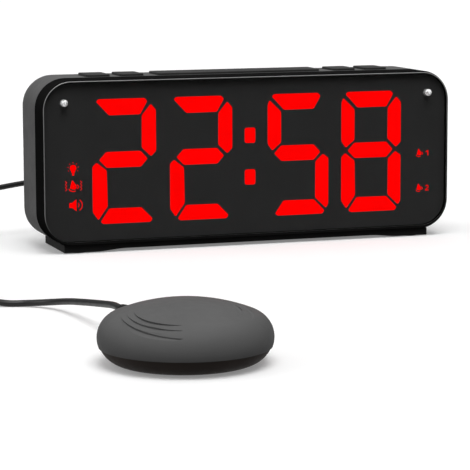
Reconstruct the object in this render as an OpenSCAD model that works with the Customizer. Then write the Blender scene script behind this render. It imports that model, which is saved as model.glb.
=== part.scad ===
// Digital alarm clock with a bed shaker puck on a lead.
// The clock's base rests on z = 0 with its middle at the origin, its front looks along -Y.

/* [Clock case] */
// Width of the clock
clock_w = 190; // [170:1:230]
// Height of the case without its plinth
case_h = 72.1; // [68:0.5:90]
// Depth of the whole case
clock_d = 38.5; // [37:0.5:50]
// Depth of the glossy front frame
frame_d = 13.3; // [12.5:0.1:15]
// Corner radius of the case
corner_r = 13.5; // [10:0.5:20]
// Wall of the case
wall = 2; // [1.6:0.1:2.6]
// Rounding of the rear edge
rear_edge = 3; // [1:0.5:4]
// Rounding of the front edge
front_edge = 0.5; // [0.2:0.1:0.8]
// Width of the bright lip round the panel
lip_w = 1.4; // [1:0.1:2.4]
// Thickness of the smoked panel
lens_t = 2; // [1.5:0.1:2.5]

/* [Plinth] */
// Height of the plinth under the case, pads included
plinth_h = 3.6; // [3:0.1:8]
// How far each end of the plinth stands in from the side of the case
plinth_inset = 9.5; // [5:0.5:20]
// How high the middle of the plinth is arched
arch_h = 1; // [0.5:0.1:1.4]
// Width of each foot at full depth
foot_w = 14; // [10:0.5:24]
// Length of the slope from the foot to the arch
slope_w = 14; // [8:0.5:24]
// How far the rubber pads stand out
pad_proud = 0.4; // [0.2:0.1:0.8]

/* [Display] */
// Digits shown, hours then minutes
shown = [2, 2, 5, 8]; // [0:1:9]
// Height of a digit
digit_h = 54.8; // [44:0.2:56]
// Space between the outer digits and the edges of the panel
digit_margin = 21; // [18:0.5:26]
// Space between the two digits of a pair
digit_space = 6; // [4:0.5:10]
// Half of the space between the two pairs
digit_middle = 8.2; // [7:0.1:12]
// Width of an upright segment
bar_v = 6.9; // [4:0.1:8]
// Width of a level segment
bar_h = 7.2; // [4:0.1:8]
// Gap between two segments
bar_gap = 1.1; // [0.6:0.1:1.6]
// Depth of the light box
light_box_d = 7.5; // [6:0.1:8]
// Diameter of the two flash lamps
lamp_d = 3; // [2.5:0.1:4]
// Distance of the flash lamps from the edges of the panel
lamp_inset = 8.5; // [7:0.1:10]

/* [Keys] */
// Width of a small key
key_w = 10.8; // [8:0.1:12]
// Distance of the outer small keys from the sides of the case
key_margin = 29.4; // [25:0.1:32]
// Space between the snooze bar and the next small key
snooze_space = 6.55; // [4:0.05:9]
// Distance from one small key to the next
key_pitch = 15.4; // [14.6:0.1:17]
// How far the keys stand out of the case
key_proud = 1; // [0.6:0.1:2]
// Travel of a key
key_travel = 0.5; // [0.3:0.05:0.8]
// Gap round a key in its opening
key_gap = 0.35; // [0.25:0.05:0.5]

/* [Rear] */
// Height of the sockets above the table
socket_z = 26; // [20:0.5:30]
// Distance of the shaker socket from the middle
shaker_socket_x = 66; // [60:0.5:70]
// Distance of the power inlet from the middle
inlet_x = 48; // [44:0.5:50]
// Distance of the charging port from the middle
usb_x = 27; // [24:0.5:30]
// Distance of the speaker from the side of the case
speaker_margin = 43; // [36:0.5:46]
// Diameter of the speaker
speaker_dia = 36; // [28:0.5:40]
// Diameter of the backup coin cell
cell_d = 20; // [16:0.5:20]
// Thickness of the backup coin cell
cell_t = 3.2; // [1.6:0.1:3.2]
// Depth of the sockets behind the main board
socket_l = 16; // [14.5:0.1:17]

/* [Shaker puck] */
// Diameter of the puck
puck_d = 58; // [54:0.5:70]
// Height of the puck above the table
puck_h = 21.5; // [20.5:0.1:26]
// Height at which the puck is widest
rim_z = 9; // [8.5:0.1:10]
// Height of the seam above the table
seam_z = 6; // [5.5:0.1:6.5]
// Wall of the puck
puck_wall = 2; // [1.6:0.1:2.2]
// Place of the puck's middle, sideways
puck_x = -108; // [-140:1:-60]
// Place of the puck's middle, front to back
puck_y = -263; // [-300:1:-200]
// Direction in which the lead leaves the puck
lead_turn = 100; // [80:1:110]
// Depth of the stepped crescents on the dome
crescent_depth = 0.65; // [0.3:0.05:0.9]

/* [Lead] */
// Diameter of the lead
lead_d = 2.5; // [2:0.1:2.7]
// Turns in each layer of the coiled lead
coil_turns = 4; // [3:1:6]
// Layers in the coiled lead
coil_layers = 4; // [2:2:4]
// Step from one turn to the next
coil_pitch = 3; // [2.9:0.05:3.4]

/* [Hidden] */
$fn = 64;
slip = 0.15;      // clearance of seated covers and glazing
snug = 0.05;      // clearance of press-fitted pieces

// The case: heights and depths that its pieces share
case_z = plinth_h + case_h / 2;
case_top = plinth_h + case_h;
rear_d = clock_d - frame_d;
rear_in = clock_d - wall;
panel_w = clock_w - 2 * lip_w;
panel_h = case_h - 2 * lip_w;
panel_r = corner_r - lip_w;
lens_y = 0.1;
lens_back = lens_y + lens_t;
ledge_w = 1.6;
ledge_t = 1.5;
box_back = lens_back + light_box_d;
board_t = 1.6;
lip_t = 1.2;
lip_l = 1.5;
lip_root = 0.5;
digit_z = case_z;
digit_w = (panel_w / 2 - digit_margin - digit_space - digit_middle) / 2;
digit_outer = panel_w / 2 - digit_margin - digit_w / 2;
digit_inner = digit_outer - digit_space - digit_w;
box_side = 4.5;
box_end = 3.5;
box_r = 3;
box_w = 2 * (digit_outer + digit_w / 2 + box_side);
box_h = digit_h + 2 * box_end;
lamp_x = panel_w / 2 - lamp_inset;
lamp_z = case_z + panel_h / 2 - lamp_inset;
lamp_flange = 0.4;

// The keys and their switches
key_r = 1.6;
key_edge = 0.4;
flange_w = 0.9;
flange_t = 1.2;
hang_d = 4;
hang_y = rear_in - 0.2 - hang_d / 2;
key_front = frame_d + lip_root + key_gap + flange_w;
key_d = hang_y - hang_d / 2 - key_gap - flange_w - key_front;
key_y = key_front + key_d / 2;
key_outer = clock_w / 2 - key_margin;
key_inner = key_outer - key_pitch;
snooze_w = 2 * (key_inner - key_w / 2 - snooze_space);
key_rest_gap = 0.1;
stem_d = 4;
stem_l = 2.4;
key_under = case_top - wall - key_rest_gap - flange_t - stem_l;
plunger_gap = 0.1;
switch_h = 3.8;
switch_w = 6;
switch_z = key_under - key_travel - plunger_gap - switch_h;
key_board_side = 6;
key_board_w = 2 * (key_outer + key_board_side);
hang_x = [-key_inner + 5, 0, key_inner - 5];
key_board_y0 = key_y - 5;
key_board_y1 = rear_in - key_gap;
small_keys = [-key_outer, -key_inner, key_inner, key_outer];
snooze_stems = [-snooze_w / 4, snooze_w / 4];
screw_d = 2.6;
screw_head = 4.6;
screw_slip = 0.1;
case_post_d = 6;
case_screw_x = clock_w / 2 - wall - case_post_d / 2 + 0.2;
case_screw_rise = case_h / 2 - corner_r - 3;
screw_bite = 6;
screw_sink = 3;
screw_head_t = 2;
board_screw_d = 2;
board_screw_head = 3.6;
board_screw_bite = 5;

// The rear: boards and sockets
socket_sink = 0.4;
socket_back = clock_d - socket_sink;
main_board_y = socket_back - socket_l - board_t;
main_board_z0 = 14;
main_board_z1 = 52;
main_board_x0 = -shaker_socket_x - 12;
main_board_x1 = -12;
post_d = 5;
inlet_d = 9;
inlet_bore = 5.6;
inlet_depth = 9.5;
inlet_pin = 1.3;
jack_depth = 13;
jack_d = 7;
jack_bore = 3.6;
usb_w = 14.4;
usb_h = 6.8;
usb_wall = 0.6;
usb_tongue = 9;
speaker_x = clock_w / 2 - speaker_margin;
speaker_z = case_z;
basket_t = 1.2;
basket_lip = 3.4;
basket_l = 6;
magnet_d = speaker_dia / 2;
magnet_t = 5;
cone_dome = 4.2;
slot_w = 1.8;
slot_pitch = 3.6;
drawer_w = cell_d + 4;
drawer_t = cell_t + 2.2;
drawer_x = 8;
cell_lap = 0.4;
cell_slip = 0.2;
cell_y = rear_in - cell_d / 2 + cell_lap;
cell_z = drawer_t / 2 - cell_t - cell_slip;
drawer_y = cell_y - cell_d / 2 - cell_slip - 1.1;
guide_wall = 1.5;
drawer_z = 20;
drawer_gap = 0.25;

// The puck: a round rim under a flatter crown, both parts of circles that meet in line
puck_r = puck_d / 2;
pad_t = 1;
pad_show = 0.4;
pad_w = 6;
pad_edge = 2;
rim_r = rim_z - pad_show;
rim_x = puck_r - rim_r;
crown_rise = puck_h - rim_z;
crown_r = (puck_r ^ 2 + crown_rise ^ 2 - 2 * puck_r * rim_r) / (2 * (crown_rise - rim_r));
crown_z = puck_h - crown_r;
crown_turn = atan(rim_x / (rim_z - crown_z));
rim_step = 0.4;
spigot_t = 1.2;
spigot_h = 1.8;
spigot_r = rim_x + sqrt((rim_r - puck_wall) ^ 2 - (rim_z - seam_z) ^ 2) - slip;
screw_seat_z = 3.4;
screw_post_z = 5;
upper_post_d = 5.4;
lower_post_d = 6.4;
relief_z = rim_z + 2;
relief_d = 5.6;
relief_neck = 4;
relief_l = 18;
relief_tip = 3.2;
relief_anchor = 2;
motor_d = 10;
motor_l = 15;
motor_z = 8.2;
motor_y = -9;
shaft_d = 2;
shaft_seat = 2;
weight_r = 5.2;
weight_l = 7;
weight_gap = 1;
shaft_l = weight_l + 2 * weight_gap;
spin_gap = 0.05;
puck_bite = 6;
cradle_w = 13;
cradle_rise = 2;
cradle_in = 2;
puck_screw_r = puck_r - rim_r - pad_edge - pad_w / 2 + 0.1;
puck_screw_turns = [35, 165, 285];

// The route of the lead: points in millimetres, chosen by hand
lead_r = lead_d / 2;
plug_l = 15;
plug_grip = 8;
plug_tail = 6;
plug_y = clock_d / 2 + plug_l + plug_tail;
relief_end = puck_r + relief_l;
coil_lift = 0.85;
coil_x = -170;
coil_y = -108;
coil_in = 9.5;
coil_out = coil_in + coil_turns * coil_pitch;
coil_low = lead_r + coil_lift;
coil_top = coil_low + (coil_layers - 1) * coil_pitch;
coil_rings = 24;
coil_edge = coil_x + coil_out;
function from_puck(d) = [puck_x + d * cos(lead_turn), puck_y + d * sin(lead_turn), relief_z];
clock_route = [[-shaker_socket_x, plug_y, socket_z], [-shaker_socket_x, plug_y + 2.8, socket_z],
    [-68, 48, 25.8], [-74, 51, 25.2], [-84, 50.5, 24], [-96, 46.5, 23], [-108, 40, 21.8], [-120, 30, 18.2],
    [-131, 16, 12.3], [-139, 0, 7], [-144, -20, 3.6], [-147, -42, 2.4], [-148.3, -66, 2.1],
    [coil_edge, coil_y + 18, coil_low], [coil_edge, coil_y + 3, coil_low], [coil_edge, coil_y, coil_low]];
puck_route = [[coil_edge, coil_y, coil_top], [coil_edge, coil_y - 3, coil_top], [-148.5, -115, 10.2],
    [-148, -123.5, 6.4], [-145.5, -132, 2.8], [-139.5, -138, 1.4], [-131, -141.5, 1.5], [-124.4, -149, 2.7],
    [-120.9, -161, 4.7], [-118.7, -178, 7], [-117.4, -195, 9.2], [-116.9, -207, 10.7],
    from_puck(relief_end + 3), from_puck(relief_end)];

// Flat shapes

module rounded(w, h, r) {
    square([w - 2 * r, h], center = true);
    square([w, h - 2 * r], center = true);
    for (x = [-1, 1], y = [-1, 1])
        translate([x * (w / 2 - r), y * (h / 2 - r)]) circle(r);
}

module quarter(r) {
    intersection() {
        circle(r);
        square(r);
    }
}

// Rounded edge with a tongue that laps into the plates it joins
module soft_edge(e) {
    quarter(e);
    translate([-e / 2, -e / 2]) square(e);
}

// Plate of thickness t whose far edge is rounded by e
module soft_plate(w, h, r, t, e) {
    linear_extrude(t - e) rounded(w, h, r);
    linear_extrude(t) rounded(w - 2 * e, h - 2 * e, r - e);
    translate([0, 0, t - e]) {
        for (x = [-1, 1], y = [-1, 1])
            translate([x * (w / 2 - r), y * (h / 2 - r), 0])
                rotate_extrude() translate([r - e, 0]) soft_edge(e);
        for (x = [-1, 1])
            translate([x * (w / 2 - e), 0, 0]) rotate([90, 0, 0])
                linear_extrude(h - 2 * r, center = true) mirror([(1 - x) / 2, 0]) soft_edge(e);
        for (y = [-1, 1])
            translate([0, y * (h / 2 - e), 0]) rotate([90, 0, 90])
                linear_extrude(w - 2 * r, center = true) mirror([(1 - y) / 2, 0]) soft_edge(e);
    }
}

// Moves a piece that is drawn from the front face backwards into the clock's place
module in_clock() {
    translate([0, -clock_d / 2, 0]) children();
}

// Stands a flat drawing upright, y0 behind the front face and centred at height z
module upright(y0, z = case_z) {
    translate([0, y0, z]) rotate([-90, 0, 0]) children();
}

// Case

module key_opening(x, w) {
    translate([x, key_y, case_top - wall - 1])
        linear_extrude(wall + 2) rounded(w + 2 * key_gap, key_d + 2 * key_gap, key_r + key_gap);
}

module grille() {
    intersection() {
        circle(d = speaker_dia - 6);
        for (i = [-3:3]) translate([0, i * slot_pitch]) square([speaker_dia, slot_w], center = true);
    }
}

module case_screw_places() {
    for (x = [-1, 1], z = [-1, 1])
        translate([x * case_screw_x, clock_d, case_z + z * case_screw_rise]) rotate([90, 0, 0]) children();
}

module board_posts(x0, x1, z0, z1) {
    for (x = [x0 + 4, x1 - 4], z = [z0 + 4, z1 - 4])
        translate([x, main_board_y + board_t, z]) rotate([-90, 0, 0])
            cylinder(d = post_d, h = rear_in - main_board_y - board_t);
}

module lip_plate(y0, l, fit) {
    upright(y0) linear_extrude(l)
        rounded(clock_w - 2 * (wall + fit), case_h - 2 * (wall + fit), corner_r - wall - fit);
}

// Ring that centres the front frame, rooted in the wall of the case
module lip_ring() difference() {
    union() {
        lip_plate(frame_d - lip_l, lip_l + lip_root, slip);
        lip_plate(frame_d + 0.1, lip_root - 0.1, -wall / 2);
    }
    lip_plate(frame_d - lip_l - 1, lip_l + lip_root + 2, lip_t);
    case_screw_places() cylinder(d = case_post_d + 4 * slip, h = rear_d + lip_l + 1);
}

module rear_case() color("#2b2b2d") in_clock() {
    difference() {
        union() {
            difference() {
                upright(frame_d) soft_plate(clock_w, case_h, corner_r, rear_d, rear_edge);
                upright(frame_d - 1) linear_extrude(rear_d - wall + 1)
                    rounded(clock_w - 2 * wall, case_h - 2 * wall, corner_r - wall);
            }
            lip_ring();
            board_posts(main_board_x0, main_board_x1, main_board_z0, main_board_z1);
            for (x = hang_x)
                translate([x, hang_y, switch_z]) cylinder(d = hang_d, h = case_top - wall + 0.2 - switch_z);
            case_screw_places() translate([0, 0, wall / 2]) cylinder(d = case_post_d, h = rear_d - wall / 2);
        }
        for (x = small_keys) key_opening(x, key_w);
        key_opening(0, snooze_w);
        for (x = hang_x)
            translate([x, hang_y, switch_z - 1]) cylinder(d = board_screw_d + screw_slip, h = board_screw_bite + 1.5);
        case_screw_places() translate([0, 0, -1]) cylinder(d = screw_head + 2 * screw_slip, h = 1 + screw_sink);
        case_screw_places() cylinder(d = screw_d + screw_slip, h = rear_d + 1);
        translate([speaker_x, clock_d + 1, speaker_z]) rotate([90, 0, 0]) linear_extrude(wall + 2) grille();
        translate([-inlet_x, clock_d + 1, socket_z]) rotate([90, 0, 0]) cylinder(d = inlet_d + 2 * slip, h = wall + 2);
        translate([-shaker_socket_x, clock_d + 1, socket_z]) rotate([90, 0, 0])
            cylinder(d = jack_d + 2 * slip, h = wall + 2);
        translate([-usb_x, clock_d + 1, socket_z]) rotate([90, 0, 0])
            linear_extrude(wall + 2) rounded(usb_w + 2 * slip, usb_h + 2 * slip, 0.8);
        translate([drawer_x, clock_d + 1, drawer_z]) rotate([90, 0, 0]) linear_extrude(wall + 2)
            square([drawer_w + 2 * drawer_gap, drawer_t + 2 * drawer_gap], center = true);
    }
    // Guide that the coin cell drawer slides in
    translate([drawer_x, rear_in + guide_wall / 2, drawer_z]) rotate([90, 0, 0])
        linear_extrude(rear_in + guide_wall / 2 - drawer_y - 2 * drawer_gap) difference() {
            square([drawer_w + 2 * (drawer_gap + guide_wall), drawer_t + 2 * (drawer_gap + guide_wall)], center = true);
            square([drawer_w + 2 * drawer_gap, drawer_t + 2 * drawer_gap], center = true);
        }
}

module front_frame() color("#0b0b0c") in_clock() {
    difference() {
        translate([0, frame_d, case_z]) rotate([90, 0, 0])
            soft_plate(clock_w, case_h, corner_r, frame_d, front_edge);
        upright(-1) linear_extrude(lens_back + 1) rounded(panel_w, panel_h, panel_r);
        upright(0) linear_extrude(frame_d)
            rounded(panel_w - 2 * ledge_w, panel_h - 2 * ledge_w, panel_r - ledge_w);
        upright(lens_back + ledge_t) linear_extrude(frame_d)
            rounded(clock_w - 2 * wall, case_h - 2 * wall, corner_r - wall);
    }
    // Bosses that the case screws bite into
    intersection() {
        difference() {
            case_screw_places() translate([0, 0, rear_d]) cylinder(d = case_post_d, h = frame_d - lens_back - ledge_t);
            case_screw_places() translate([0, 0, rear_d - 1])
                cylinder(d = screw_d + screw_slip, h = 1.5 + screw_bite);
        }
        upright(0) linear_extrude(frame_d) rounded(clock_w - 1, case_h - 1, corner_r - 0.5);
    }
}

module lamp_holes(d) {
    for (x = [-1, 1])
        translate([x * lamp_x, -1, lamp_z]) rotate([-90, 0, 0]) cylinder(d = d, h = frame_d);
}

module front_lens() color("#1c1c1e") in_clock() difference() {
    upright(lens_y) linear_extrude(lens_t)
        rounded(panel_w - 2 * slip, panel_h - 2 * slip, panel_r - slip);
    lamp_holes(lamp_d + 2 * snug);
}

// Display

// Which segments each digit lights: top, upper right, lower right, bottom, lower left, upper left, middle
SEGMENTS = [[1, 1, 1, 1, 1, 1, 0], [0, 1, 1, 0, 0, 0, 0], [1, 1, 0, 1, 1, 0, 1], [1, 1, 1, 1, 0, 0, 1],
    [0, 1, 1, 0, 0, 1, 1], [1, 0, 1, 1, 0, 1, 1], [1, 0, 1, 1, 1, 1, 1], [1, 1, 1, 0, 0, 0, 0],
    [1, 1, 1, 1, 1, 1, 1], [1, 1, 1, 1, 0, 1, 1]];
digit_at = [-digit_outer, -digit_inner, digit_inner, digit_outer];
digit_r = 4;
cut = bar_gap / sqrt(2);
tip_x = 1.9;      // how far the pointed tips of the upright bars stand in
tip_z = 0.75;

// Level bar at the top, its ends mitred at 45 degrees
module level_bar() {
    w = digit_w / 2;
    h = digit_h / 2;
    intersection() {
        rounded(digit_w, digit_h, digit_r);
        polygon([[-w + cut, h], [w - cut, h], [w - bar_h - cut, h - bar_h], [-w + bar_h + cut, h - bar_h]]);
    }
}

// Upright bar at the upper left, mitred at the top and pointed at the middle
module upright_bar() {
    w = digit_w / 2;
    h = digit_h / 2;
    intersection() {
        rounded(digit_w, digit_h, digit_r);
        polygon([[-w, h - cut], [-w + bar_v, h - bar_v - cut], [-w + bar_v, tip_z + bar_v - tip_x],
            [-w + tip_x, tip_z], [-w, 2 * tip_z]]);
    }
}

module middle_bar() {
    e = digit_w / 2 - tip_x - cut / 2;
    polygon([[-e, 0], [-e + bar_h / 2, bar_h / 2], [e - bar_h / 2, bar_h / 2], [e, 0],
        [e - bar_h / 2, -bar_h / 2], [-e + bar_h / 2, -bar_h / 2]]);
}

module segment(i) {
    if (i == 0) level_bar();
    if (i == 1) mirror([1, 0]) upright_bar();
    if (i == 2) mirror([1, 0]) mirror([0, 1]) upright_bar();
    if (i == 3) mirror([0, 1]) level_bar();
    if (i == 4) mirror([0, 1]) upright_bar();
    if (i == 5) upright_bar();
    if (i == 6) middle_bar();
}

// Segments of the digit at place p that are lit (1) or dark (0), drawn as seen from the front
module segments(p, lit) {
    for (i = [0:6]) if (SEGMENTS[shown[p]][i] == lit) segment(i);
}

// Light guides stand in the light box, from its back to the panel
module guide() {
    translate([0, box_back, digit_z]) rotate([90, 0, 0]) linear_extrude(light_box_d) children();
}

module digit(p) color("#ff1408") in_clock() guide() translate([digit_at[p], 0]) segments(p, 1);
module digit_1() digit(0);
module digit_2() digit(1);
module digit_3() digit(2);
module digit_4() digit(3);

module unlit_segments() color("#3a1a1a") in_clock() guide()
    for (p = [0:3]) translate([digit_at[p], 0]) segments(p, 0);

colon_w = 5;
colon_h = 6.8;
colon_z = 9.3;
module colon_dots(extra) {
    for (z = [-1, 1]) translate([0, z * colon_z])
        rounded(colon_w + 2 * extra, colon_h + 2 * extra, 1 + extra);
}
module colon() color("#ff1408") in_clock() guide() colon_dots(0);

module light_box() color("#e8e8e4") in_clock() difference() {
    upright(lens_back) linear_extrude(light_box_d) rounded(box_w, box_h, box_r);
    translate([0, box_back + 1, digit_z]) rotate([90, 0, 0]) linear_extrude(light_box_d + 2) {
        for (x = digit_at) translate([x, 0]) rounded(digit_w + 2 * snug, digit_h + 2 * snug, digit_r);
        colon_dots(snug);
    }
}

module display_board() color("#1f5a34") in_clock() difference() {
    upright(box_back) linear_extrude(board_t) rounded(panel_w - 2 * box_r, box_h, box_r);
    case_screw_places() cylinder(d = case_post_d + 1, h = clock_d);
}

module flash_lamp(x) color("#f2f4f6") in_clock() translate([x, 0, lamp_z]) rotate([90, 0, 0]) {
    rotate_extrude() {
        translate([0, -box_back]) square([lamp_d / 2, box_back]);
        translate([0, -box_back]) square([lamp_d / 2 + lamp_flange, 1]);
        quarter(lamp_d / 2);
    }
}
module flash_lamp_left() flash_lamp(-lamp_x);
module flash_lamp_right() flash_lamp(lamp_x);

// Plinth

// Outline of the plinth seen from the front: two feet joined by a shallow arch
module plinth_outline(h) {
    w = clock_w / 2 - plinth_inset;
    a = w - foot_w;
    b = a - slope_w;
    wave = [for (i = [0:8]) [b + (a - b) * i / 8, arch_h * (1 + cos(180 * i / 8)) / 2]];
    back = [for (i = [0:8]) [-wave[8 - i][0], wave[8 - i][1]]];
    polygon(concat([[w, 0], [w, h], [-w, h], [-w, 0]], back, wave));
}

foot_pad_d = 8;
module pad_places() {
    for (x = [-1, 1], y = [7, clock_d - 8])
        translate([x * (clock_w / 2 - plinth_inset - foot_w / 2), y, 0]) children();
}

module base_plinth() color("#1a1a1b") in_clock() difference() {
    translate([0, clock_d - 2.5, pad_proud]) rotate([90, 0, 0])
        linear_extrude(clock_d - 4) plinth_outline(plinth_h - pad_proud);
    pad_places() cylinder(d = foot_pad_d + 2 * snug, h = pad_proud + 1);
}

module foot_pads() color("#111111") in_clock() pad_places() cylinder(d = foot_pad_d, h = pad_proud + 1);

// Keys

module key(x, w, stems) color("#242426") in_clock() translate([x, key_y, 0]) {
    translate([0, 0, case_top - wall - key_rest_gap - flange_t])
        soft_plate(w, key_d, key_r, flange_t + wall + key_rest_gap + key_proud, key_edge);
    translate([0, 0, case_top - wall - key_rest_gap - flange_t])
        linear_extrude(flange_t) rounded(w + 2 * flange_w, key_d + 2 * flange_w, key_r);
    for (s = stems)
        translate([s, 0, key_under]) cylinder(d = stem_d, h = stem_l + 0.1);
}
module set_key() key(small_keys[0], key_w, [0]);
module minus_key() key(small_keys[1], key_w, [0]);
module plus_key() key(small_keys[2], key_w, [0]);
module shaker_key() key(small_keys[3], key_w, [0]);
module snooze_bar() key(0, snooze_w, snooze_stems);

module switch_places() {
    for (x = concat(small_keys, snooze_stems)) translate([x, key_y, switch_z]) children();
}

module key_switches() color("#8a8c90") in_clock() switch_places() {
    translate([-switch_w / 2, -switch_w / 2, 0]) cube([switch_w, switch_w, switch_h - 0.8]);
    cylinder(d = 3.4, h = switch_h);
}

module key_board() color("#1f5a34") in_clock() difference() {
    translate([-key_board_w / 2, key_board_y0, switch_z - board_t])
        cube([key_board_w, key_board_y1 - key_board_y0, board_t]);
    for (x = hang_x) translate([x, hang_y, switch_z - board_t - 1])
        cylinder(d = board_screw_d + screw_slip, h = board_t + 2);
}

module key_board_screws() color("#9a9ca0") in_clock()
    for (x = hang_x) translate([x, hang_y, switch_z - board_t]) {
        translate([0, 0, -1.2]) cylinder(d = board_screw_head, h = 1.2);
        cylinder(d = board_screw_d, h = board_t + board_screw_bite);
    }

// Rear pieces

module main_board() color("#1f5a34") in_clock()
    translate([main_board_x0, main_board_y, main_board_z0])
        cube([main_board_x1 - main_board_x0, board_t, main_board_z1 - main_board_z0]);

module power_inlet() color("#161616") in_clock()
    translate([-inlet_x, socket_back, socket_z]) rotate([90, 0, 0]) difference() {
        cylinder(d = inlet_d, h = socket_l);
        translate([0, 0, -1]) difference() {
            cylinder(d = inlet_bore, h = inlet_depth + 1);
            translate([0, 0, 2]) cylinder(d = inlet_pin, h = inlet_depth);
        }
    }

module shaker_socket() color("#161616") in_clock()
    translate([-shaker_socket_x, socket_back, socket_z]) rotate([90, 0, 0]) difference() {
        cylinder(d = jack_d, h = socket_l);
        translate([0, 0, -1]) cylinder(d = jack_bore, h = jack_depth + 1);
    }

module usb_port() color("#c9ccd0") in_clock()
    translate([-usb_x, socket_back, socket_z]) rotate([90, 0, 0]) {
        linear_extrude(socket_l) difference() {
            rounded(usb_w, usb_h, 0.8);
            rounded(usb_w - 2 * usb_wall, usb_h - 2 * usb_wall, 0.4);
        }
        translate([0, 0, socket_l - 2]) linear_extrude(2) rounded(usb_w - usb_wall, usb_h - usb_wall, 0.4);
        translate([0, usb_h / 2 - 1.9, socket_l - 1 - usb_tongue])
            linear_extrude(usb_tongue) square([usb_w - 3, 1.6], center = true);
    }

module in_speaker() {
    in_clock() translate([speaker_x, rear_in, speaker_z]) rotate([90, 0, 0]) children();
}

module speaker_basket() color("#3b3d40") in_speaker() rotate_extrude() {
    r = speaker_dia / 2;
    m = magnet_d / 2;
    polygon([[r, 0], [r, basket_t], [r - 2, basket_t + 0.4], [m, basket_l], [m - 2, basket_l],
        [m - 2, basket_l - 1.4], [r - basket_lip, basket_t], [r - basket_lip, 0]]);
}

module speaker_cone() color("#151515") in_speaker() rotate_extrude() {
    r = speaker_dia / 2 - basket_lip - slip;
    polygon([[0, 2.6], [cone_dome, 1.8], [r, 0.3], [r, 0.8], [cone_dome + 0.2, 3.2], [0, 3.6]]);
}

module speaker_magnet() color("#6d7074") in_speaker() translate([0, 0, basket_l]) difference() {
    cylinder(d = magnet_d, h = magnet_t);
    translate([0, 0, -1]) cylinder(d = magnet_d / 3, h = magnet_t - 1);
}

module coin_drawer() color("#2b2b2d") in_clock() translate([drawer_x, 0, drawer_z]) difference() {
    union() {
        translate([-drawer_w / 2, drawer_y, -drawer_t / 2]) cube([drawer_w, clock_d - drawer_y, drawer_t]);
        translate([-4, clock_d - 0.1, -drawer_t / 2 + 0.4]) cube([8, 0.9, 1.2]);
    }
    translate([0, cell_y, cell_z]) cylinder(d = cell_d + 2 * cell_slip, h = cell_t + 1);
}

module coin_cell() color("#c4c7cb") in_clock()
    translate([drawer_x, cell_y, drawer_z + cell_z]) {
        cylinder(d = cell_d, h = cell_t * 0.75);
        cylinder(d = cell_d - 2, h = cell_t);
    }

module case_screws() color("#9a9ca0") in_clock() case_screw_places() {
    translate([0, 0, screw_sink - screw_head_t]) difference() {
        cylinder(d = screw_head, h = screw_head_t);
        for (a = [0, 90]) rotate(a) translate([-1.6, -0.3, -1]) cube([3.2, 0.6, 2]);
    }
    translate([0, 0, screw_sink]) cylinder(d = screw_d, h = rear_d - screw_sink + screw_bite);
}

// Puck

module in_puck() {
    translate([puck_x, puck_y, 0]) children();
}

// Half outline of the rim and the floor, drawn in by s
module rim_outline(x, s) {
    translate([x, rim_z]) circle(rim_r - s);
    translate([0, pad_show + s]) square([x, rim_r - s]);
}

// Half outline of the whole puck, drawn in by s
module puck_outline(s) {
    far = 1.5 * crown_r;
    rim_outline(rim_x, s);
    intersection() {
        translate([0, crown_z]) circle(crown_r - s);
        translate([0, crown_z]) polygon([[0, 0], [far * sin(crown_turn), far * cos(crown_turn)], [0, far]]);
        translate([0, rim_z - 1]) square([puck_r, puck_h]);
    }
}

// Height of the puck's skin at distance r from its middle
function skin_z(r) = r < crown_r * sin(crown_turn)
    ? crown_z + sqrt(crown_r ^ 2 - r ^ 2)
    : rim_z + sqrt(max(rim_r ^ 2 - (r - rim_x) ^ 2, 0));

// Two sets of crescents: the middle of their circles, the way they face, half their spread, and the
// radius and width of each step
CRESCENTS = [[[-1.5, -6.5], 207, 38, [[17.4, 2.1], [19.5, 1.9], [21.4, 1.3]]],
    [[-5, -11], 8, 26, [[18.9, 2], [22.9, 1.8]]]];

// Stepped groove along part of a circle: its floor leans so that it runs out of the skin at both ends,
// and a second circle, closer in, draws its outer edge to a point there
module crescent(c, turn, half, a, width) {
    function skin_at(t) = skin_z(norm(c + a * [cos(t), sin(t)]));
    deep = skin_at(turn) - crescent_depth;
    before = skin_at(turn - half);
    after = skin_at(turn + half);
    along = (deep - (before + after) / 2) / (a * (1 - cos(half)));
    across = (after - before) / (2 * a * sin(half));
    b = a + width;
    outer = skin_z(norm(c + b * [cos(turn), sin(turn)]));
    off = (b ^ 2 - a ^ 2) / (2 * (b - a * cos(half)));
    translate([c[0], c[1], 0]) rotate(turn) intersection() {
        translate([0, 0, deep - along * a]) rotate([atan(across), -atan(along), 0]) rotate_extrude()
            polygon([[a, 0], [a, 4], [b + 1, 4], [b + 1, 0], [b, outer - deep - along * width]]);
        translate([off, 0, rim_z]) cylinder(r = b - off, h = puck_h);
    }
}

module screw_columns(d, z0, z1) {
    for (a = puck_screw_turns) rotate(a) translate([puck_screw_r, 0, z0]) cylinder(d = d, h = z1 - z0);
}

module puck_upper_shell() color("#2e2e30") in_puck() difference() {
    union() {
        rotate_extrude() intersection() {
            difference() {
                puck_outline(0);
                puck_outline(puck_wall);
            }
            translate([0, seam_z]) square([puck_r + 1, puck_h]);
        }
        intersection() {
            screw_columns(upper_post_d, screw_post_z, puck_h);
            rotate_extrude() puck_outline(puck_wall / 2);
        }
    }
    for (set = CRESCENTS, step = set[3]) crescent(set[0], set[1], set[2], step[0], step[1]);
    screw_columns(screw_d + screw_slip, screw_post_z - 1, screw_post_z + puck_bite + 0.5);
    rotate(lead_turn) translate([rim_x, 0, relief_z]) rotate([0, 90, 0])
        cylinder(d = relief_neck + 2 * snug, h = rim_r + 1);
}

module pad_ring(extra, z0, h) {
    translate([0, 0, z0]) difference() {
        cylinder(r = rim_x - pad_edge + extra, h = h);
        translate([0, 0, -1]) cylinder(r = rim_x - pad_edge - pad_w - extra, h = h + 2);
    }
}

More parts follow.
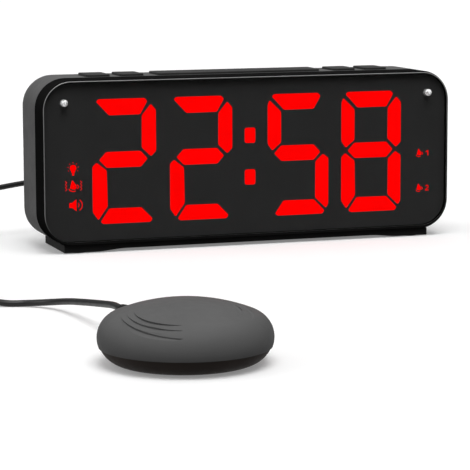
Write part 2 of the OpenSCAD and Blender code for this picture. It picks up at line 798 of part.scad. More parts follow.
module puck_lower_shell() color("#353433") in_puck() difference() {
    union() {
        rotate_extrude() intersection() {
            difference() {
                rim_outline(rim_x - rim_step, 0);
                rim_outline(rim_x - rim_step, puck_wall);
            }
            square([puck_r, seam_z]);
        }
        translate([0, 0, seam_z - spigot_h]) difference() {
            cylinder(r = spigot_r, h = 2 * spigot_h);
            translate([0, 0, -1]) cylinder(r = spigot_r - spigot_t, h = 2 * spigot_h + 2);
        }
        screw_columns(lower_post_d, pad_show + pad_t, screw_post_z);
    }
    pad_ring(snug, -1, 1 + pad_t);
    screw_columns(screw_head + 2 * screw_slip, -1, screw_seat_z);
    screw_columns(screw_d + screw_slip, -1, screw_post_z + 1);
}

module puck_pad() color("#141414") in_puck() pad_ring(0, 0, pad_t);

module puck_screws() color("#9a9ca0") in_puck() {
    screw_columns(screw_head, screw_seat_z - screw_head_t, screw_seat_z);
    screw_columns(screw_d, screw_seat_z, screw_post_z + puck_bite);
}

module along_motor() {
    in_puck() translate([0, motor_y, motor_z]) rotate([-90, 0, 0]) children();
}

module puck_motor() color("#b9bcc0") along_motor() difference() {
    cylinder(d = motor_d, h = motor_l);
    translate([0, 0, motor_l - shaft_seat]) cylinder(d = shaft_d + 2 * spin_gap, h = shaft_seat + 1);
}

module puck_motor_shaft() color("#d4d6d9") along_motor()
    translate([0, 0, motor_l - shaft_seat + 0.2]) cylinder(d = shaft_d, h = shaft_l + shaft_seat);

module puck_weight() color("#7a6a3c") along_motor() translate([0, 0, motor_l + weight_gap])
    linear_extrude(weight_l) difference() {
        union() {
            intersection() {
                circle(weight_r);
                translate([-weight_r, 0]) square([2 * weight_r, weight_r]);
            }
            circle(d = shaft_d + 2);
        }
        circle(d = shaft_d);
    }

// Cradle that stands on the floor of the puck and clasps the motor from below
module puck_motor_clamp() color("#353433") in_puck() difference() {
    translate([-cradle_w / 2, motor_y + cradle_in, pad_show + puck_wall])
        cube([cradle_w, motor_l - 2 * cradle_in, motor_z + cradle_rise - pad_show - puck_wall]);
    translate([0, motor_y, motor_z]) rotate([-90, 0, 0]) cylinder(d = motor_d + 2 * snug, h = motor_l);
    translate([-motor_d / 2 - snug, motor_y, motor_z]) cube([motor_d + 2 * snug, motor_l, cradle_rise + 1]);
}

// Strain relief: an anchor inside, a neck through the wall and a tapered tail with four grooves
relief_root = puck_r + snug;
relief_steps = 4;
relief_pitch = 2.6;
function relief_taper(x) = (relief_d + (relief_tip - relief_d) * x / relief_l) / 2;
module puck_strain_relief() color("#101010") in_puck() rotate(lead_turn)
    translate([0, 0, relief_z]) rotate([0, 90, 0]) rotate_extrude() difference() {
        polygon([[0, puck_r - puck_wall - relief_anchor], [relief_neck / 2, puck_r - puck_wall - relief_anchor],
            [relief_neck / 2, relief_root], [relief_d / 2, relief_root], [relief_d / 2, relief_root + 2],
            [relief_tip / 2, relief_end], [0, relief_end]]);
        for (i = [1:relief_steps]) translate([relief_taper(i * relief_pitch) - 0.5, relief_root + 1 + i * relief_pitch])
            square([2, 1]);
    }

// Lead

function unit(v) = v / norm(v);
function spline_point(p, i, t) = let (a = p[max(i - 1, 0)], b = p[i], c = p[i + 1], d = p[min(i + 2, len(p) - 1)])
    0.5 * ((2 * b) + (c - a) * t + (2 * a - 5 * b + 4 * c - d) * t * t + (3 * b - a - 3 * c + d) * t * t * t);
function steps(a, b) = max(1, round(norm(b - a) / (2.2 * lead_d)));
function smooth(p) = concat([for (i = [0:len(p) - 2]) let (n = steps(p[i], p[i + 1]))
    for (k = [0:n - 1]) spline_point(p, i, k / n)], [p[len(p) - 1]]);
function heading(p, i) = unit(p[min(i + 1, len(p) - 1)] - p[max(i - 1, 0)]);
function ring(c, dir, r, n, turn) = let (s = unit(cross(dir, [0, 0, 1])), u = cross(s, dir))
    [for (k = [0:n - 1]) let (a = turn + 360 * k / n) c + r * (cos(a) * s + sin(a) * u)];

module tube(path, r, n) {
    m = len(path);
    points = [for (i = [0:m - 1]) each ring(path[i], heading(path, i), r, n, 180 / n)];
    sides = [for (i = [0:m - 2], k = [0:n - 1]) let (a = i * n + k, b = i * n + (k + 1) % n)
        each [[a, b, b + n], [a, b + n, a + n]]];
    start = [for (k = [1:n - 2]) [0, k + 1, k]];
    last = (m - 1) * n;
    end = [for (k = [1:n - 2]) [last, last + k, last + k + 1]];
    polyhedron(points = points, faces = concat(start, sides, end), convexity = 10);
}

module clock_lead() color("#161616") tube(smooth(clock_route), lead_r, 8);
module puck_lead() color("#161616") tube(smooth(puck_route), lead_r, 8);

// The coil: turns run clockwise, in and out again layer by layer, and climb in the half turn of each reversal
coil_total = coil_turns * coil_layers;
function layer_of(t) = min(floor(t / coil_turns), coil_layers - 1);
function fold(t) = let (k = layer_of(t), s = t - k * coil_turns) k % 2 == 0 ? s : coil_turns - s;
function climb(t) = let (near = round(t / coil_turns), s = t - near * coil_turns)
    near > 0 && near < coil_layers && abs(s) < 0.25 ? near - 0.5 + 2 * s : layer_of(t);
function coil_point(t) = let (r = coil_out - coil_pitch * fold(t), a = -360 * t)
    [coil_x + r * cos(a), coil_y + r * sin(a), coil_low + coil_pitch * climb(t)];
coil_path = [for (i = [0:coil_total * coil_rings]) coil_point(i / coil_rings)];

module lead_coil() color("#161616") tube(coil_path, lead_r, 6);

// Least gap between stretches of the coil that lie more than half a turn apart along the lead
function least_gap(p, skip) = min([for (i = [0:4:len(p) - 1]) min([for (j = [i + skip:2:len(p) - 1])
    norm(p[i] - p[j]), 1000])]) - lead_d;
function path_length(p) = len(p) < 2 ? 0 : [for (i = 0, s = 0; i < len(p); i = i + 1,
    s = i < len(p) ? s + norm(p[i] - p[i - 1]) : s) s][len(p) - 1];
echo(coil_gap = least_gap(coil_path, coil_rings / 2));
echo(lead_length = path_length(coil_path) + path_length(smooth(clock_route)) + path_length(smooth(puck_route)));

tie_t = 0.5;
tie_w = 6;
module lead_tie() color("#1c1c1c") {
    inner = coil_in - 0.8;
    outer = coil_out + 0.4;
    high = coil_top + lead_r + 0.35;
    translate([coil_x, coil_y, 0]) rotate([90, 0, 180]) linear_extrude(tie_w, center = true) difference() {
        translate([inner - tie_t, 0]) square([outer - inner + 2 * tie_t, high + tie_t]);
        translate([inner, tie_t]) square([outer - inner, high - tie_t]);
    }
}

module lead_plug() color("#141414")
    translate([-shaker_socket_x, clock_d / 2, socket_z]) rotate([-90, 0, 0]) {
        translate([0, 0, -11]) cylinder(d = jack_bore - 0.1, h = 12);
        translate([0, 0, -10.9]) mirror([0, 0, 1]) cylinder(d1 = jack_bore - 0.1, d2 = 1.4, h = 1.6);
        rotate_extrude() polygon([[0, 0], [plug_grip / 2, 0], [plug_grip / 2, plug_l - 4],
            [plug_grip / 2 - 1, plug_l], [2.6, plug_l], [1.9, plug_l + plug_tail], [0, plug_l + plug_tail]]);
    }

rear_case();
front_frame();
front_lens();
light_box();
digit_1();
digit_2();
digit_3();
digit_4();
colon();
unlit_segments();
flash_lamp_left();
flash_lamp_right();
base_plinth();
foot_pads();
snooze_bar();
set_key();
minus_key();
plus_key();
shaker_key();
key_switches();
key_board();
key_board_screws();
main_board();
display_board();
speaker_basket();
speaker_cone();
speaker_magnet();
coin_cell();
coin_drawer();
power_inlet();
shaker_socket();
usb_port();
case_screws();
puck_upper_shell();
puck_lower_shell();
puck_motor();
puck_motor_shaft();
puck_weight();
puck_motor_clamp();
puck_screws();
puck_pad();
puck_strain_relief();
lead_plug();
clock_lead();
puck_lead();
lead_coil();
lead_tie();
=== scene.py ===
"""Looks for the bed shaker alarm clock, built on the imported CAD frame.

Lengths are in metres, but the lead's route and the outlines of digits, icons and bevel are in millimetres.
"""

import logging
import math
from dataclasses import dataclass, field
from enum import Enum

import bmesh
import bpy
from mathutils import Matrix, Vector


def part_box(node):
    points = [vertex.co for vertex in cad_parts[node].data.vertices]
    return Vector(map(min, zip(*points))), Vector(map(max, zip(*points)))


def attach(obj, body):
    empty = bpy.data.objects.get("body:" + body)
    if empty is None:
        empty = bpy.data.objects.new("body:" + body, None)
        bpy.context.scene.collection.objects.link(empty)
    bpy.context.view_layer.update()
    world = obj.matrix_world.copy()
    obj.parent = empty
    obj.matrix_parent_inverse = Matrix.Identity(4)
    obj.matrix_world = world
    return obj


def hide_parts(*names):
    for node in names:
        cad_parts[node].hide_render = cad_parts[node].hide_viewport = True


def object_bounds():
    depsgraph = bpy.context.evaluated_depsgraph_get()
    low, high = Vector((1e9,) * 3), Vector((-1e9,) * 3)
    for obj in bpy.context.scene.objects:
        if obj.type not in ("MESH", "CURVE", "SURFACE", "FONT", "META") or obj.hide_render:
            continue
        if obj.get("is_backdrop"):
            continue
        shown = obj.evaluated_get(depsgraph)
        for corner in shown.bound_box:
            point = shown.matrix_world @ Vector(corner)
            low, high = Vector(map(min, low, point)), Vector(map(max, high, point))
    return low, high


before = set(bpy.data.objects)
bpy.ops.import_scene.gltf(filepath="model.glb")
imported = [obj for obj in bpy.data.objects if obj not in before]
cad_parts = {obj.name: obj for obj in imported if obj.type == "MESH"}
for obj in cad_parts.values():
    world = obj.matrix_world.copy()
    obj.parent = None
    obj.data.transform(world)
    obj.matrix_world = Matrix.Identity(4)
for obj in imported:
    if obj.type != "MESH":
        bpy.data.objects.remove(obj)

log = logging.getLogger("scene")
Colour = tuple[float, float, float]
Point = tuple[float, float, float]
Flat = tuple[float, float]
MM = 0.001
ROOT = "root"


def grey(level: float) -> Colour:
    """Grey of a display level from 0 to 255, as a scene colour."""
    return shade(level, level, level)


def shade(red: float, green: float, blue: float) -> Colour:
    """Turns display levels into a scene colour.

    Args:
        red: Level from 0 to 255.
        green: Level from 0 to 255.
        blue: Level from 0 to 255.

    Returns:
        The colour in linear light, each channel from 0 to 1.
    """
    levels = [level / 255 for level in (red, green, blue)]
    return tuple(x / 12.92 if x <= 0.04045 else ((x + 0.055) / 1.055) ** 2.4 for x in levels)


class Tree:
    """Node tree of one new material, with short calls to add and join nodes."""

    def __init__(self, name: str) -> None:
        """Starts a material with its Principled shader.

        Args:
            name: Name of the material.
        """
        self.material = bpy.data.materials.new(name)
        self.material.use_nodes = True
        self.nodes = self.material.node_tree.nodes
        self.surface = self.nodes["Principled BSDF"]
        self.output = self.nodes["Material Output"]

    def add(self, kind: str, settings: dict[str, object] | None = None, **values: object) -> bpy.types.Node:
        """Adds a node.

        Args:
            kind: Type of the node, without its ShaderNode prefix.
            settings: Properties of the node itself.
            values: Values of its sockets; an underscore stands for a space.

        Returns:
            The new node.
        """
        node = self.nodes.new("ShaderNode" + kind)
        for name, value in (settings or {}).items():
            setattr(node, name, value)
        for name, value in values.items():
            node.inputs[name.replace("_", " ")].default_value = value
        return node

    def join(self, start: bpy.types.NodeSocket, end: bpy.types.NodeSocket) -> None:
        """Joins an output socket to an input socket."""
        self.material.node_tree.links.new(start, end)

    def noise(self, scale: float, detail: float = 3.0) -> bpy.types.NodeSocket:
        """Adds noise in object space.

        Args:
            scale: Waves per metre.
            detail: Octaves of the noise.

        Returns:
            The socket with the noise, about 0.5 on average.
        """
        place = self.add("TexCoord")
        cloud = self.add("TexNoise", Scale=scale, Detail=detail)
        self.join(place.outputs["Object"], cloud.inputs["Vector"])
        return cloud.outputs["Fac"]

    def spread(self, source: bpy.types.NodeSocket, low: float, high: float) -> bpy.types.NodeSocket:
        """Maps noise from its usual range to the range from low to high.

        Args:
            source: Socket with the noise.
            low: Result where the noise is 0.3.
            high: Result where the noise is 0.7.

        Returns:
            The socket with the mapped value.
        """
        ranged = self.add("MapRange", From_Min=0.3, From_Max=0.7, To_Min=low, To_Max=high)
        self.join(source, ranged.inputs["Value"])
        return ranged.outputs["Result"]

    def tint(self, source: bpy.types.NodeSocket, one: Colour, other: Colour) -> bpy.types.NodeSocket:
        """Blends two colours by a value.

        Args:
            source: Socket with the value, 0 for the first colour and 1 for the other.
            one: First colour.
            other: Second colour.

        Returns:
            The socket with the blended colour.
        """
        blend = self.add("Mix", {"data_type": "RGBA"})
        blend.inputs["A"].default_value = (*one, 1)
        blend.inputs["B"].default_value = (*other, 1)
        self.join(source, blend.inputs["Factor"])
        return blend.outputs["Result"]

    def bump(self, source: bpy.types.NodeSocket, height: float) -> None:
        """Adds a bump to the surface.

        Args:
            source: Socket with the bump's shape.
            height: Height of the bump in metres.
        """
        bump = self.add("Bump", Strength=1.0, Distance=height)
        self.join(source, bump.inputs["Height"])
        self.join(bump.outputs["Normal"], self.surface.inputs["Normal"])


@dataclass(frozen=True)
class Finish:
    """Solid surface whose tone drifts, whose gloss is smudged and whose skin has a grain."""

    colour: Colour
    roughness: float
    drift: float = 0.12
    smudge: float = 0.06
    patch: float = 55.0
    finer: float = 7.0
    grain: float = 0.0
    grain_scale: float = 2600.0
    metallic: float = 0.0
    specular: float = 0.5

    def build(self, name: str) -> bpy.types.Material:
        """Makes the material.

        Args:
            name: Name of the material.

        Returns:
            The new material.
        """
        tree = Tree(name)
        surface = tree.surface
        surface.inputs["Metallic"].default_value = self.metallic
        surface.inputs["Specular IOR Level"].default_value = self.specular
        tone = tree.spread(tree.noise(self.patch), 0.0, 1.0)
        low = tuple(c * (1 - self.drift) for c in self.colour)
        high = tuple(min(1.0, c * (1 + self.drift)) for c in self.colour)
        tree.join(tree.tint(tone, low, high), surface.inputs["Base Color"])
        gloss = tree.noise(self.patch * self.finer, detail=5.0)
        rough = tree.spread(gloss, self.roughness - self.smudge, self.roughness + self.smudge)
        tree.join(rough, surface.inputs["Roughness"])
        if self.grain:
            tree.bump(tree.noise(self.grain_scale, detail=2.0), self.grain)
        return tree.material


@dataclass(frozen=True)
class Smoked:
    """Tinted glossy sheet that hides what is dark behind it and lets what glows through."""

    colour: Colour
    cover: float
    roughness: float = 0.06
    specular: float = 0.03
    haze: float = 0.08
    haze_scale: float = 30.0
    wipe_scale: float = 140.0

    def build(self, name: str) -> bpy.types.Material:
        """Makes the material.

        Args:
            name: Name of the material.

        Returns:
            The new material.
        """
        tree = Tree(name)
        surface = tree.surface
        surface.inputs["Alpha"].default_value = self.cover
        surface.inputs["Specular IOR Level"].default_value = self.specular
        haze = tree.spread(tree.noise(self.haze_scale, detail=4.0), 0.0, 1.0)
        hazy = tuple(c * (1 + self.haze) for c in self.colour)
        tree.join(tree.tint(haze, self.colour, hazy), surface.inputs["Base Color"])
        wipe = tree.noise(self.wipe_scale, detail=6.0)
        smooth, dull = self.roughness * 0.7, self.roughness * 1.4
        tree.join(tree.spread(wipe, smooth, dull), surface.inputs["Roughness"])
        return tree.material


@dataclass(frozen=True)
class Glow:
    """Light guide that glows evenly, a little less where the noise is low."""

    colour: Colour
    strength: float
    unevenness: float = 0.06
    patch: float = 90.0
    roughness: float = 0.35

    def build(self, name: str) -> bpy.types.Material:
        """Makes the material.

        Args:
            name: Name of the material.

        Returns:
            The new material.
        """
        tree = Tree(name)
        surface = tree.surface
        surface.inputs["Roughness"].default_value = self.roughness
        surface.inputs["Specular IOR Level"].default_value = 0.0
        surface.inputs["Emission Strength"].default_value = self.strength
        dim = tuple(c * (1 - self.unevenness) for c in self.colour)
        level = tree.spread(tree.noise(self.patch, detail=2.0), 0.0, 1.0)
        lit = tree.tint(level, dim, self.colour)
        tree.join(lit, surface.inputs["Emission Color"])
        tree.join(lit, surface.inputs["Base Color"])
        return tree.material


@dataclass(frozen=True)
class Clear:
    """Small clear lamp over a white cup, with a weak painted glow though the lamp is off, and painted dark
    flecks where its lens bends the light away.
    """

    colour: Colour
    painted_fleck: Colour
    roughness: float = 0.08
    clearness: float = 0.15
    ior: float = 1.5
    painted_glow: float = 0.35
    fleck_scale: float = 1500.0
    fleck_from: float = 0.52
    fleck_full: float = 0.6

    def build(self, name: str) -> bpy.types.Material:
        """Makes the material.

        Args:
            name: Name of the material.

        Returns:
            The new material.
        """
        tree = Tree(name)
        surface = tree.surface
        surface.inputs["Transmission Weight"].default_value = self.clearness
        surface.inputs["IOR"].default_value = self.ior
        # Painted glow: the lamp is off, and this weak emission brightens it.
        surface.inputs["Emission Strength"].default_value = self.painted_glow
        flow = tree.noise(self.fleck_scale, detail=2.0)
        ranged = tree.add("MapRange", From_Min=self.fleck_from, From_Max=self.fleck_full)
        tree.join(flow, ranged.inputs["Value"])
        # Painted shade: the darker flecks stand in for light that the lens bends away.
        lit = tree.tint(ranged.outputs["Result"], self.colour, self.painted_fleck)
        tree.join(lit, surface.inputs["Base Color"])
        tree.join(lit, surface.inputs["Emission Color"])
        smooth, dull = self.roughness * 0.5, self.roughness * 1.5
        tree.join(tree.spread(flow, smooth, dull), surface.inputs["Roughness"])
        return tree.material


class Look(Enum):
    """Every finish of the object, each with the name of its material slot in the record."""

    CASE = ("case_matte", Finish(grey(96), 0.6, grain=0.00002, specular=0.1))
    FRAME = ("frame_gloss", Finish(grey(24), 0.25, drift=0.1, smudge=0.04, specular=0.0))
    # Light grey strip that paints the highlight on the panel's edge; the frame itself is dark.
    TRIM = ("frame_gloss", Finish(grey(135), 0.35, drift=0.05))
    PANEL = ("panel_smoke", Smoked(grey(4), 0.35))
    PRINT = ("panel_smoke", Finish(grey(120), 0.6, drift=0.03, specular=0.0))
    LIGHT_BOX = ("light_box_white", Finish(grey(226), 0.55, drift=0.03))
    LIT = ("segment_lit", Glow((1.0, 0.0, 0.0), 2.2))
    DARK = ("segment_dark", Finish(shade(90, 40, 40), 0.4))
    # Lamps that are off, with a painted glow and painted dark flecks.
    LAMP = ("lamp_clear", Clear(grey(240), grey(90)))
    PLINTH = ("plinth_matte", Finish(grey(34), 0.5, grain=0.00002, specular=0.02))
    KEY = ("key_satin", Finish(grey(52), 0.36, grain=0.00001, specular=0.15))
    SWITCH = ("switch_metal", Finish(grey(150), 0.35, metallic=0.8))
    BOARD = ("board_green", Finish(shade(26, 92, 50), 0.4, drift=0.2, patch=300.0))
    RUBBER = ("rubber_black", Finish(grey(26), 0.75, grain=0.00003, specular=0.3))
    SPEAKER = ("speaker_steel", Finish(grey(90), 0.4, metallic=0.9))
    CONE = ("cone_paper", Finish(grey(28), 0.85, grain=0.00005, grain_scale=1200.0))
    STEEL = ("plated_steel", Finish(grey(176), 0.28, metallic=1.0))
    SOCKET = ("socket_black", Finish(grey(20), 0.4))
    PUCK = ("puck_soft", Finish(grey(92), 0.55, drift=0.05, grain=0.000015, specular=0.08))
    PUCK_LOWER = ("puck_lower", Finish(shade(56, 50, 47), 0.55, grain=0.00002, specular=0.05))
    MOTOR = ("motor_steel", Finish(grey(170), 0.3, metallic=1.0))
    WEIGHT = ("weight_metal", Finish(shade(140, 124, 80), 0.4, metallic=1.0))
    LEAD = ("lead_black", Finish(grey(30), 0.38, grain=0.00002))
    TIE = ("tie_black", Finish(grey(24), 0.6, grain=0.00004))

    def dress(self, *pieces: bpy.types.Object) -> None:
        """Gives pieces this look, whose material is made once.

        Args:
            pieces: Objects whose material it becomes.
        """
        slot, finish = self.value
        name = f"look_{self.name.lower()}"
        material = bpy.data.materials.get(name) or finish.build(name)
        for piece in pieces:
            piece.data.materials.clear()
            piece.data.materials.append(material)
            log.info("%s: %s", piece.name, slot)


CARRIED = {
    Look.CASE: ["rear_case", "coin_drawer"],
    Look.LIGHT_BOX: ["light_box"],
    Look.LIT: ["colon"],
    Look.LAMP: ["flash_lamp_left", "flash_lamp_right"],
    Look.PLINTH: ["base_plinth"],
    Look.KEY: ["snooze_bar", "set_key", "minus_key", "plus_key", "shaker_key"],
    Look.SWITCH: ["key_switches"],
    Look.BOARD: ["key_board", "main_board", "display_board"],
    Look.RUBBER: ["foot_pads", "puck_pad", "puck_strain_relief", "lead_plug"],
    Look.SPEAKER: ["speaker_basket", "speaker_magnet"],
    Look.CONE: ["speaker_cone"],
    Look.STEEL: [
        "coin_cell", "usb_port", "case_screws", "key_board_screws", "puck_screws", "puck_motor_shaft",
    ],
    Look.SOCKET: ["power_inlet", "shaker_socket"],
    Look.PUCK: ["puck_upper_shell"],
    Look.PUCK_LOWER: ["puck_lower_shell", "puck_motor_clamp"],
    Look.MOTOR: ["puck_motor"],
    Look.WEIGHT: ["puck_weight"],
    Look.TIE: ["lead_tie"],
}


def dress_frame() -> None:
    """Gives each CAD node that stays its finish."""
    for look, names in CARRIED.items():
        look.dress(*[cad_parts[name] for name in names])


def new_object(name: str, data: bpy.types.ID, body: str = ROOT) -> bpy.types.Object:
    """Links a new object that rides on a body.

    Args:
        name: Name of the object.
        data: Its mesh or curve.
        body: The body that it rides on.

    Returns:
        The new object.
    """
    made = bpy.data.objects.new(name, data)
    bpy.context.scene.collection.objects.link(made)
    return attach(made, body)


@dataclass
class Camera:
    """Camera at the photograph's place, aimed along its yaw and pitch."""

    place: Point = (-0.320, -0.9356, 0.1427)
    yaw: float = 0.3283
    pitch: float = 0.1414
    roll: float = -0.003
    lens: float = 168.5

    def build(self) -> None:
        """Makes the camera and sets it as the scene's own."""
        ahead = Vector((
            math.sin(self.yaw) * math.cos(self.pitch),
            math.cos(self.yaw) * math.cos(self.pitch),
            -math.sin(self.pitch),
        ))
        right = Vector((math.cos(self.yaw), -math.sin(self.yaw), 0))
        up = right.cross(ahead)
        turned = math.cos(self.roll) * right + math.sin(self.roll) * up
        above = turned.cross(ahead)
        data = bpy.data.cameras.new("camera")
        data.lens = self.lens
        data.clip_start = 0.01
        made = bpy.data.objects.new("camera", data)
        turn = Matrix((turned, above, -ahead)).transposed().to_4x4()
        made.matrix_world = Matrix.Translation(self.place) @ turn
        bpy.context.scene.collection.objects.link(made)
        bpy.context.scene.camera = made


@dataclass
class Lead:
    """The lead from the clock's rear socket to the puck, its spare length in a round coil.

    The points from the clock and to the puck are given; the coil between them is worked out.
    """

    diameter: float = 2.5 * MM
    length: float = 1.895
    turns: int = 4
    layers: int = 4
    pitch: float = 3.0
    steps: int = 24
    centre: Flat = (-170, -108)
    outer: float = 21.5
    low: float = 2.1
    from_clock: list[Point] = field(default_factory=lambda: [
        (-66, 40.25, 26), (-66, 43.05, 26), (-68, 48, 25.8), (-74, 51, 25.2), (-84, 50.5, 24),
        (-96, 46.5, 23), (-108, 40, 21.8), (-120, 30, 18.2), (-131, 16, 12.3), (-139, 0, 7), (-144, -20, 3.6),
        (-147, -42, 2.4), (-148.3, -66, 2.1), (-148.5, -90, 2.1), (-148.5, -105, 2.1),
    ])
    to_puck: list[Point] = field(default_factory=lambda: [
        (-148.5, -111, 11.1), (-148.5, -115, 10.2), (-148, -123.5, 6.4), (-145.5, -132, 2.8),
        (-139.5, -138, 1.4), (-131, -141.5, 1.5), (-124.4, -149, 2.7), (-120.9, -161, 4.7), (-118.7, -178, 7),
        (-117.4, -195, 9.2), (-116.9, -207, 10.7), (-116.68, -213.76, 11), (-116.16, -216.71, 11),
    ])

    def coil_point(self, turn: float) -> Point:
        """Place on the coil after that many turns, in millimetres.

        Args:
            turn: Turns from the coil's start.

        Returns:
            The point; layers spiral in and out again, and climb in the half turn of each reversal.
        """
        layer = min(int(turn // self.turns), self.layers - 1)
        within = turn - layer * self.turns
        inward = within if layer % 2 == 0 else self.turns - within
        near = round(turn / self.turns)
        past = turn - near * self.turns
        climbing = 0 < near < self.layers and abs(past) < 0.25
        height = near - 0.5 + 2 * past if climbing else layer
        radius = self.outer - self.pitch * inward
        angle = -2 * math.pi * turn
        x, y = self.centre
        return (x + radius * math.cos(angle), y + radius * math.sin(angle), self.low + self.pitch * height)

    def build(self) -> None:
        """Makes the lead as one smooth tube, with its plug, tie and strain relief on it."""
        count = self.turns * self.layers * self.steps
        coil = [self.coil_point(i / self.steps) for i in range(count + 1)]
        route = [Vector(p) * MM for p in [*self.from_clock, *coil, *self.to_puck]]
        curve = bpy.data.curves.new("lead", "CURVE")
        curve.dimensions = "3D"
        curve.bevel_depth = self.diameter / 2
        curve.bevel_resolution = 5
        curve.resolution_u = 6
        curve.use_fill_caps = True
        spline = curve.splines.new("BEZIER")
        spline.bezier_points.add(len(route) - 1)
        for i, (point, place) in enumerate(zip(spline.bezier_points, route)):
            slope = (route[min(i + 1, len(route) - 1)] - route[max(i - 1, 0)]) / 6
            point.co = place
            point.handle_left = place - slope
            point.handle_right = place + slope
        bent = bpy.data.objects.new("lead_line", curve)
        lead = new_object("lead", bpy.data.meshes.new_from_object(bent))
        bpy.data.objects.remove(bent)
        Look.LEAD.dress(lead)
        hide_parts("clock_lead", "lead_coil", "puck_lead")


def circle_points(
    centre: Flat, radius: float, start: float = 0, end: float = 360, count: int = 24,
) -> list[Flat]:
    """Points along an arc.

    Args:
        centre: Middle of the arc.
        radius: Radius of the arc.
        start: First angle in degrees.
        end: Last angle in degrees.
        count: Steps from the first to the last.

    Returns:
        The points, without the last one where the arc is a full circle.
    """
    last = count if abs(end - start) >= 360 else count + 1
    angles = [math.radians(start + (end - start) * i / count) for i in range(last)]
    return [(centre[0] + radius * math.cos(a), centre[1] + radius * math.sin(a)) for a in angles]


def bar(a: Flat, b: Flat, width: float) -> list[Flat]:
    """Outline of a straight stroke.

    Args:
        a: Start of its middle line.
        b: End of its middle line.
        width: Width of the stroke.

    Returns:
        The four corners.
    """
    along = Vector(b) - Vector(a)
    side = Vector((-along.y, along.x)).normalized() * width / 2
    return [tuple(Vector(p) + s) for p, s in ((a, -side), (b, -side), (b, side), (a, side))]


def stroke(line: list[Flat], width: float) -> list[Flat]:
    """Outline of a stroke along a bent line.

    Args:
        line: Points of its middle line.
        width: Width of the stroke.

    Returns:
        The outline's points, along one side and back along the other.
    """
    points = [Vector(p) for p in line]
    sides = []
    for i in range(len(points)):
        along = points[min(i + 1, len(points) - 1)] - points[max(i - 1, 0)]
        sides.append(Vector((-along.y, along.x)).normalized() * width / 2)
    left = [tuple(p + side) for p, side in zip(points, sides)]
    right = [tuple(p - side) for p, side in zip(points, sides)]
    return left + right[::-1]


def eased(outline: list[Flat], radius: float) -> list[Flat]:
    """Rounds the corners of an outline.

    Args:
        outline: Its corners.
        radius: How far from a corner the rounding starts, but at most 0.4 of the side.

    Returns:
        The rounded outline.
    """
    points = []
    for i, corner in enumerate(outline):
        here = Vector(corner)
        sides = [Vector(outline[k % len(outline)]) - here for k in (i - 1, i + 1)]
        start, end = (here + side.normalized() * min(radius, 0.4 * side.length) for side in sides)
        for t in (0.0, 0.25, 0.5, 0.75, 1.0):
            points.append(tuple(start * (1 - t) ** 2 + here * 2 * t * (1 - t) + end * t ** 2))
    return points


def drawn_in(outline: list[Flat], by: float) -> list[Flat]:
    """Moves the sides of a convex outline inwards.

    Args:
        outline: Its corners.
        by: How far each side moves.

    Returns:
        The smaller outline.
    """
    centre = sum((Vector(p) for p in outline), Vector((0, 0))) / len(outline)
    moved = []
    for i, corner in enumerate(outline):
        here = Vector(corner)
        inward = []
        for other in (outline[i - 1], outline[(i + 1) % len(outline)]):
            along = (Vector(other) - here).normalized()
            normal = Vector((-along.y, along.x))
            inward.append(normal if normal.dot(centre - here) > 0 else -normal)
        one, two = inward
        moved.append(tuple(here + (one + two) * by / (1 + one.dot(two))))
    return moved


